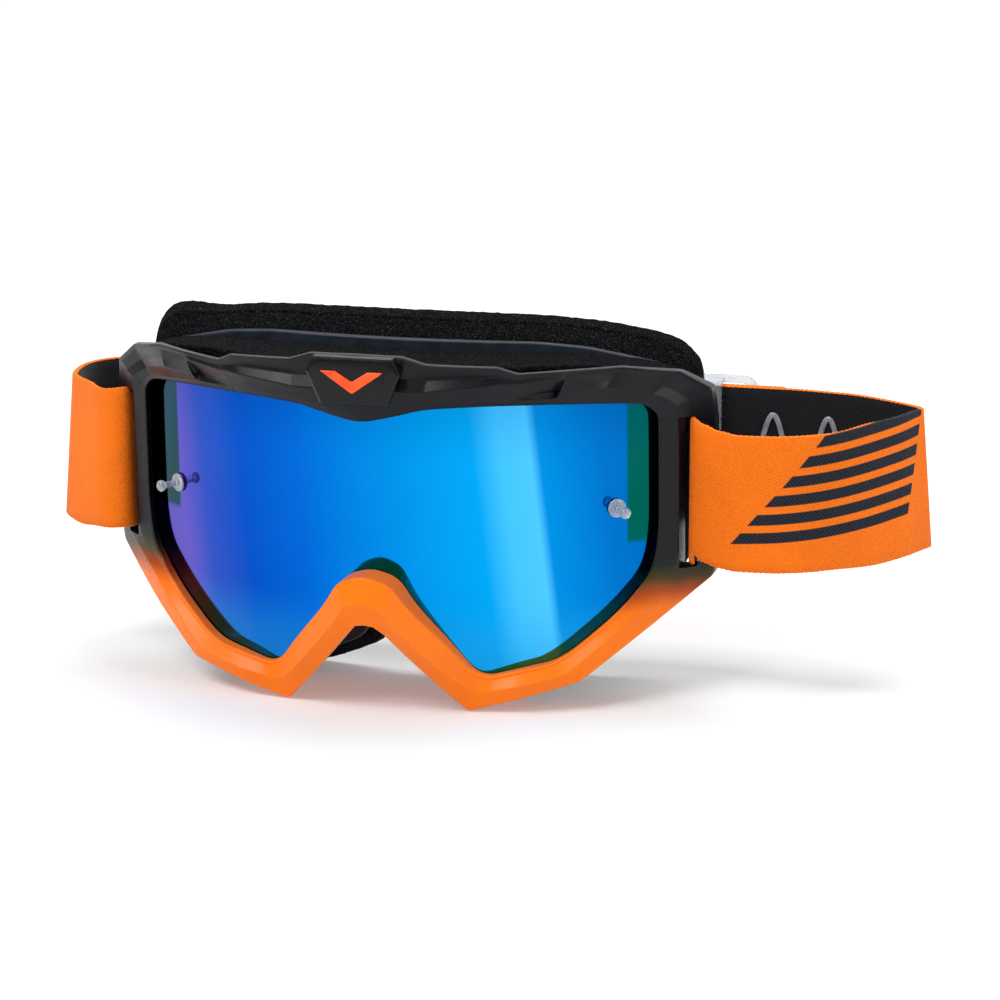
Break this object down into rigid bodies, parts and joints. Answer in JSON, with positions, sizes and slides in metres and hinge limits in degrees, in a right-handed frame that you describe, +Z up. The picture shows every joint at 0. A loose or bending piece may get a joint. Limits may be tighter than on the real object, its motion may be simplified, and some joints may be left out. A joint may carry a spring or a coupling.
{
  "type": "motorcycle goggles",
  "caption": "Off-road riding goggles: moulded frame with a swept mirror lens, layered face foam, tear-off posts and an elastic strap with sliding adjusters.",
  "frame": {"origin": "bottom centre of the whole object's box, on the surface that the goggles stand on", "axes": "+Z up, -Y out of the lens, the way the wearer looks, +X along the frame's width"},
  "size_m": [0.2552, 0.109, 0.107],
  "materials": {
    "black_shell": "satin",
    "orange_plastic": "satin",
    "blue_mirror": "polished",
    "clear_plastic": "gloss",
    "black_foam": "matte",
    "black_fleece": "matte",
    "orange_elastic": "matte",
    "silicone": "satin"
  },
  "bodies": {
    "goggles": {"brow_badge_emblem": "orange_plastic", "brow_badge_plate": "black_shell", "face_flange": "black_shell", "face_foam_base": "black_foam", "face_foam_comfort": "black_foam", "face_foam_fleece": "black_fleece", "front_frame": "black_shell", "lens": "blue_mirror", "post_retainer_left": "clear_plastic", "post_retainer_right": "clear_plastic", "silicone_grip_left": "silicone", "silicone_grip_right": "silicone", "strap_left": "orange_elastic", "strap_rear": "orange_elastic", "strap_right": "orange_elastic", "tear_off_post_left": "clear_plastic", "tear_off_post_right": "clear_plastic", "vent_foam_lower_left": "black_foam", "vent_foam_lower_right": "black_foam", "vent_foam_top": "black_foam"},
    "adjuster_left": {"strap_adjuster_left": "clear_plastic"},
    "adjuster_right": {"strap_adjuster_right": "clear_plastic"}
  },
  "joints": [
    {"name": "left_adjuster_slide", "type": "slide", "parent": "goggles", "child": "adjuster_left", "axis": [-1, 0, 0], "range_m": [-0.03, 0.006]},
    {"name": "right_adjuster_slide", "type": "slide", "parent": "goggles", "child": "adjuster_right", "axis": [1, 0, 0], "range_m": [-0.03, 0.006]}
  ]
}
